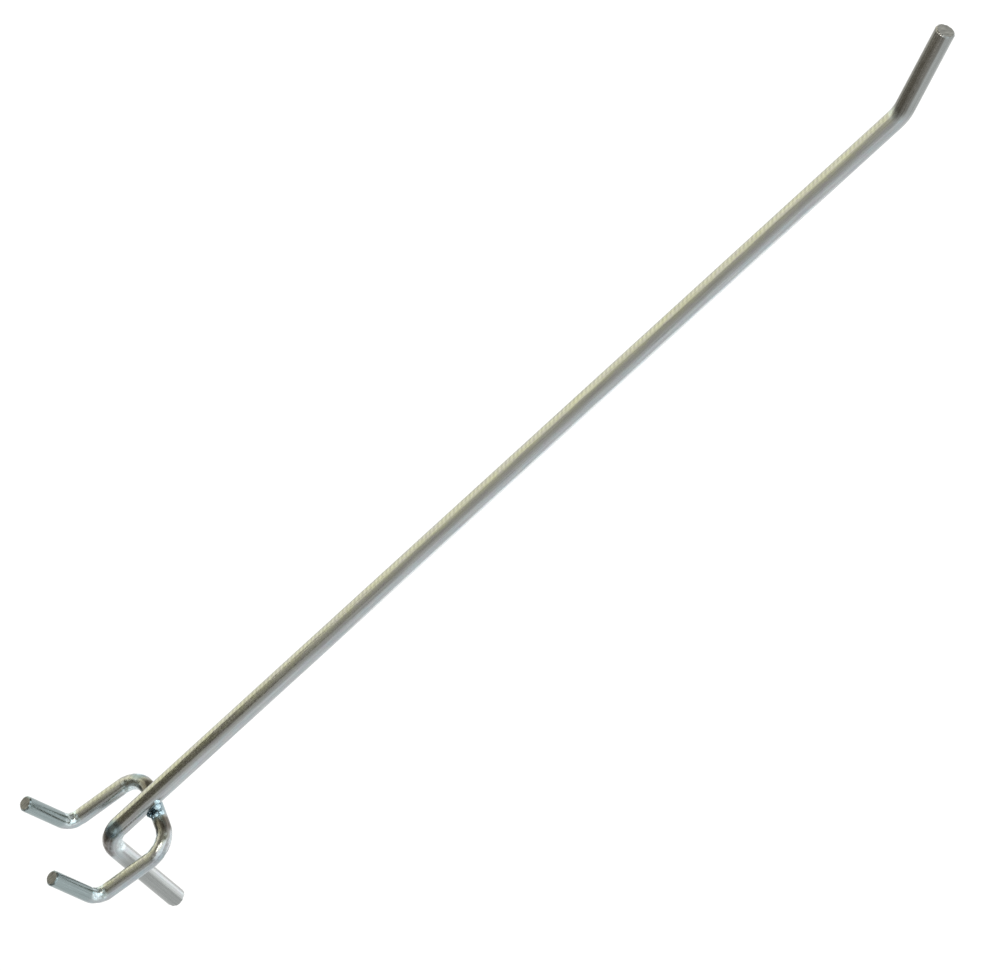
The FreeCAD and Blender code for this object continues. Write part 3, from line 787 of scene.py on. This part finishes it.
def weld_tree():
    """Beads run together, with a rippled skin."""
    tree = bpy.data.node_groups.new("Weld Flash", "GeometryNodeTree")
    add_group_sockets(tree, [
        ("Geometry", "NodeSocketGeometry", None),
        ("Voxel", "NodeSocketFloat", 0.00012),
        ("Ripple", "NodeSocketFloat", 0.0001),
        ("Material", "NodeSocketMaterial", None),
    ], [("Geometry", "NodeSocketGeometry")])
    given = add_node(tree, "NodeGroupInput", 0).outputs
    size = named_number(tree, 0, BEAD_RADIUS)
    points = add_node(tree, "GeometryNodeMeshToPoints", 1, {
        "Mesh": given["Geometry"], "Radius": size}, mode="VERTICES")
    cloud = add_node(tree, "GeometryNodePointsToVolume", 2, {
        "Points": points.outputs["Points"], "Radius": size, "Voxel Size": given["Voxel"],
    }, resolution_mode="VOXEL_SIZE")
    skin = add_node(tree, "GeometryNodeVolumeToMesh", 3, {
        "Volume": cloud.outputs["Volume"], "Threshold": SKIN_THRESHOLD})
    where = add_node(tree, "GeometryNodeInputPosition", 3).outputs["Position"]
    noise = add_node(tree, "ShaderNodeTexNoise", 4, {
        "Vector": where, "Scale": RIPPLE_SCALE, "Detail": 2.0}, noise_dimensions="3D")
    centred = maths(tree, 5, "SUBTRACT", noise.outputs["Fac"], 0.5)
    skin = displace(tree, 6, skin.outputs["Mesh"], times(tree, 5, centred, given["Ripple"]))

    # 1 where the nearest bead is one of the large drops
    nearest = add_node(tree, "GeometryNodeSampleNearest", 5, {"Geometry": given["Geometry"]},
                       domain="POINT")
    girth = add_node(tree, "GeometryNodeSampleIndex", 6, {
        "Geometry": given["Geometry"], "Value": size, "Index": nearest.outputs["Index"],
    }, data_type="FLOAT", domain="POINT")
    large = smooth_step(tree, 7, girth.outputs["Value"], *DROP_RADIUS)
    skin = store(tree, 7, skin, DROP, large)
    smooth = add_node(tree, "GeometryNodeSetShadeSmooth", 8, {"Geometry": skin}, domain="FACE")
    end_tree(tree, 9, smooth.outputs["Geometry"], given["Material"])
    return tree


# One operator for each piece


def wire_values(diameter, finish):
    """What the bent wire tree is given."""
    return {
        "Wire Radius": diameter / 2,
        "Steps Round": finish.steps_round,
        "Step Along": finish.step_along,
        "Chamfer": finish.chamfer,
    }


class OBJECT_OT_board_hook_arm(Operator):
    """Builds the arm wire from leg to tip"""

    bl_idname = "object.board_hook_arm"
    bl_label = "Build Arm Wire"

    def execute(self, context):
        sizes, finish = context.scene.hook_arm, context.scene.hook_finish
        root = Vector(sizes.root)
        leg = Vector((-math.sin(sizes.leg_rake), 0.0, -math.cos(sizes.leg_rake)))
        arm = Vector((math.cos(sizes.rise), 0.0, math.sin(sizes.rise)))
        steep = sizes.rise + sizes.tip_turn
        tip = Vector((math.cos(steep), 0.0, math.sin(steep)))
        crossing = root + sizes.length * arm
        points = [root + sizes.leg_length * leg, root, crossing, crossing + sizes.tip_length * tip]
        holder = path_object(ARM_PIECE, points, (0.0, sizes.leg_bend, sizes.tip_bend, 0.0))
        tip_shade_from = sizes.leg_length + sizes.length - TIP_SHADE_BEFORE_BEND
        material = plating_material("bright_zinc_arm", finish, 1, finish.arm_cut,
                                    finish.leg_tip_shade, LEG_SHADE_HEIGHTS, ARM_GLINTS,
                                    tip_shade_from=tip_shade_from)
        settle(holder, wire_tree(), wire_values(sizes.diameter, finish), material)
        check_fit(holder, ARM_NODE)
        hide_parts(ARM_NODE)
        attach(holder, "root")
        return {"FINISHED"}


class OBJECT_OT_board_hook_prongs(Operator):
    """Builds the prong wire: crossbar, two runs and two turned up ends"""

    bl_idname = "object.board_hook_prongs"
    bl_label = "Build Prong Wire"

    def execute(self, context):
        sizes, finish = context.scene.hook_prongs, context.scene.hook_finish
        up = Vector((-math.sin(sizes.prong_lean), 0.0, math.cos(sizes.prong_lean)))
        points = []
        for side in (1.0, -1.0):
            half = side * sizes.pitch / 2
            foot = Vector((-sizes.prong_depth, half, 0.0))
            row = [foot + sizes.prong_length * up, foot, Vector((sizes.crossbar, half, 0.0))]
            points += row if side > 0 else row[::-1]
        radii = (0.0, sizes.prong_bend, sizes.crossbar_bend)
        holder = path_object(PRONG_PIECE, points, radii + radii[::-1])
        weld = (sizes.crossbar, 0.0, sizes.diameter / 2)
        material = plating_material("bright_zinc_prongs", finish, 2, finish.prong_cut,
                                    finish.prong_end_shade, PRONG_SHADE_HEIGHTS, PRONG_GLINTS, heat_at=weld,
                                    teal=PRONG_TEAL, outer_shade=PRONG_OUTER_SHADE)
        settle(holder, wire_tree(), wire_values(sizes.diameter, finish), material)
        check_fit(holder, PRONG_NODE)
        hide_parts(PRONG_NODE)
        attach(holder, "root")
        return {"FINISHED"}


class OBJECT_OT_board_hook_weld(Operator):
    """Builds the metal that the weld squeezed out on both sides of the arm"""

    bl_idname = "object.board_hook_weld"
    bl_label = "Build Weld Flash"

    def execute(self, context):
        sizes, finish = context.scene.hook_prongs, context.scene.hook_finish
        centre = Vector((sizes.crossbar, 0.0, sizes.diameter / 2 - WELD_SINK))
        draw = random.Random(BEAD_SEED)
        beads = []
        for step in range(BEAD_COUNT):
            angle = step * math.tau / BEAD_COUNT
            spread = Vector((BEAD_RING[0] * math.cos(angle), BEAD_RING[1] * math.sin(angle), 0.0))
            beads.append((centre + spread, draw.uniform(*BEAD_SIZES) * MM))
        beads += [(centre + Vector(place) * MM, radius * MM) for place, radius in WELD_DROPS]
        holder = path_object(WELD_PIECE, [place for place, radius in beads],
                             [radius for place, radius in beads], BEAD_RADIUS, chained=False)
        settle(holder, weld_tree(), {"Voxel": VOXEL, "Ripple": RIPPLE}, weld_material(finish))
        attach(holder, "root")
        return {"FINISHED"}


# The stage


def seen_rays(tree, column):
    """Whether a ray is the camera's own, and whether it comes off a mirror or through glass."""
    path = add_node(tree, "ShaderNodeLightPath", column).outputs
    return path["Is Camera Ray"], maths(tree, column + 1, "ADD", path["Is Glossy Ray"],
                                        path["Is Transmission Ray"])


def floor_material():
    """White floor, for the camera and in the plating, that keeps the hook's shadow."""
    material, tree = new_material("studio_floor")
    seen = maths(tree, 2, "ADD", *seen_rays(tree, 0), clamp=True)
    paint = add_node(tree, "ShaderNodeBsdfDiffuse", 3, {"Color": FLOOR_PAINT})
    glow = add_node(tree, "ShaderNodeEmission", 3, {"Strength": FLOOR_STRENGTH})
    mix = add_node(tree, "ShaderNodeMixShader", 4, {
        "Fac": times(tree, 3, seen, FLOOR_GLOW), 1: paint.outputs["BSDF"],
        2: glow.outputs["Emission"]})
    show(tree, 5, mix.outputs["Shader"])
    return material


def bearing(azimuth, elevation):
    """Unit vector; azimuth is in degrees from +X towards +Y, elevation above level."""
    turn, lift = math.radians(azimuth), math.radians(elevation)
    return Vector((math.cos(turn) * math.cos(lift), math.sin(turn) * math.cos(lift),
                   math.sin(lift)))


def sky_mask(tree, axis, edge):
    """1 round the axis and 0 away from it, with a soft edge between two cosines."""
    sky = add_node(tree, "ShaderNodeTexCoord", 0).outputs["Generated"]
    return smooth_step(tree, 2, vector_maths(tree, 1, "DOT_PRODUCT", sky, axis), *edge)


def studio_world(toward_camera):
    """Dim room with the patches of light and shade that the plating mirrors."""
    world = bpy.data.worlds.new("Studio")
    world.use_nodes = True
    tree = world.node_tree
    tree.nodes.clear()
    patches = [
        (bearing(*PANEL_BEARING), PANEL_EDGE, PANEL_LIGHT),
        (toward_camera, CAMERA_EDGE, CAMERA_LIGHT),
        (bearing(*FRONT_BEARING), FRONT_EDGE, FRONT_LIGHT),
        (bearing(*SIDE_BEARING), SIDE_EDGE, SIDE_LIGHT),
        (bearing(*WINDOW_BEARING), WINDOW_EDGE, WINDOW_LIGHT),
    ]
    total = ROOM_LIGHT
    for column, (axis, edge, light) in enumerate(patches):
        total = blend_colours(tree, 3 + column, sky_mask(tree, axis, edge), total, light)

    # the camera sees white all round, the plating mirrors it where the backdrop is
    from_camera, mirrored = seen_rays(tree, 7)
    backdrop = times(tree, 9, mirrored, sky_mask(tree, -toward_camera, BACKDROP_EDGE))
    white = maths(tree, 10, "ADD", backdrop, from_camera, clamp=True)
    background = add_node(tree, "ShaderNodeBackground", 12, {
        "Color": blend_colours(tree, 11, white, total, (1.0, 1.0, 1.0))})
    show(tree, 13, background.outputs["Background"], "ShaderNodeOutputWorld")
    return world


def add_lamp(name, shape, size, radiance, area, place, turn):
    """An area lamp of even radiance."""
    data = bpy.data.lights.new(name, "AREA")
    data.shape = shape
    data.size = size
    data.energy = radiance * math.pi * area
    lamp = add_object(name, data)
    lamp.location = place
    lamp.rotation_euler = turn
    return lamp


def flat_panel(name, corners, material):
    """A flat four-sided panel."""
    mesh = bpy.data.meshes.new(name)
    mesh.from_pydata(corners, [], [(0, 1, 2, 3)])
    mesh.materials.append(material)
    return add_object(name, mesh)


def dark_card():
    """A dark level card over the rear bend that only the plating mirrors."""
    material, tree = new_material("dark_card")
    glow = add_node(tree, "ShaderNodeEmission", 0, {"Color": (*CARD_LIGHT, 1.0)})
    show(tree, 1, glow.outputs["Emission"])
    corners = [CARD_CENTRE + Vector((CARD_LENGTH / 2 * x, CARD_WIDTH / 2 * y, 0.0))
               for x, y in ((-1, -1), (-1, 1), (1, 1), (1, -1))]
    card = flat_panel("dark_card", corners, material)
    card.visible_camera = False
    card.visible_diffuse = False
    card.visible_shadow = False
    return card


class OBJECT_OT_board_hook_stage(Operator):
    """Sets the camera, floor and soft light"""

    bl_idname = "object.board_hook_stage"
    bl_label = "Set the Stage"

    def execute(self, context):
        scene, studio = context.scene, context.scene.hook_studio
        data = bpy.data.cameras.new("Camera")
        data.sensor_width = SENSOR_WIDTH
        data.lens = studio.lens
        camera = add_object("Camera", data)
        camera.location = studio.camera_place
        camera.rotation_euler = Euler(studio.camera_turn)
        scene.camera = camera

        half = studio.floor_size / 2
        level = CAD_BOX[0].z - studio.floor_drop
        floor = flat_panel("studio_floor", [
            (-half, -half, level), (half, -half, level), (half, half, level),
            (-half, half, level)], floor_material())
        for name, place, distance, size, radiance, mirrored in SOFT_LAMPS:
            direction = bearing(*place)
            lamp = add_lamp(name, "SQUARE", size, radiance, size * size,
                            (CAD_BOX[0] + CAD_BOX[1]) / 2 + distance * direction,
                            direction.to_track_quat("Z", "Y").to_euler())
            lamp.visible_glossy = mirrored
        add_lamp("floor_spot", "DISK", SPOT_SIZE, SPOT_LIGHT, math.pi * SPOT_SIZE ** 2 / 4,
                 SPOT_CENTRE, Euler((math.pi, 0.0, 0.0)))
        dark_card()

        toward = Euler(studio.camera_turn).to_matrix() @ Vector((0.0, 0.0, 1.0))
        scene.world = studio_world(toward)
        scene.view_settings.view_transform = "Standard"
        return {"FINISHED"}


class VIEW3D_PT_board_hook(Panel):
    """Settings of the hook, and a button for each step"""

    bl_idname = "VIEW3D_PT_board_hook"
    bl_label = "Board Hook"
    bl_space_type = "VIEW_3D"
    bl_region_type = "UI"
    bl_category = "Board Hook"

    def draw(self, context):
        scene, layout = context.scene, self.layout
        for title, group in (("Arm Wire", scene.hook_arm), ("Prong Wire", scene.hook_prongs),
                             ("Finish", scene.hook_finish), ("Studio", scene.hook_studio)):
            box = layout.box()
            box.label(text=title)
            for name in group.__annotations__:
                box.prop(group, name)
        for operator in OPERATORS:
            layout.operator(operator.bl_idname)


OPERATORS = (OBJECT_OT_board_hook_arm, OBJECT_OT_board_hook_prongs, OBJECT_OT_board_hook_weld,
             OBJECT_OT_board_hook_stage)
GROUPS = (("hook_arm", ArmSizes), ("hook_prongs", ProngSizes), ("hook_finish", WireFinish),
          ("hook_studio", StudioSettings))


def register():
    for name, group in GROUPS:
        bpy.utils.register_class(group)
        setattr(bpy.types.Scene, name, PointerProperty(type=group))
    for operator in OPERATORS:
        bpy.utils.register_class(operator)
    bpy.utils.register_class(VIEW3D_PT_board_hook)


def unregister():
    bpy.utils.unregister_class(VIEW3D_PT_board_hook)
    for operator in reversed(OPERATORS):
        bpy.utils.unregister_class(operator)
    for name, group in reversed(GROUPS):
        delattr(bpy.types.Scene, name)
        bpy.utils.unregister_class(group)


def main():
    register()
    bpy.ops.object.board_hook_arm()
    bpy.ops.object.board_hook_prongs()
    bpy.ops.object.board_hook_weld()
    bpy.ops.object.board_hook_stage()


if __name__ == "__main__":
    main()
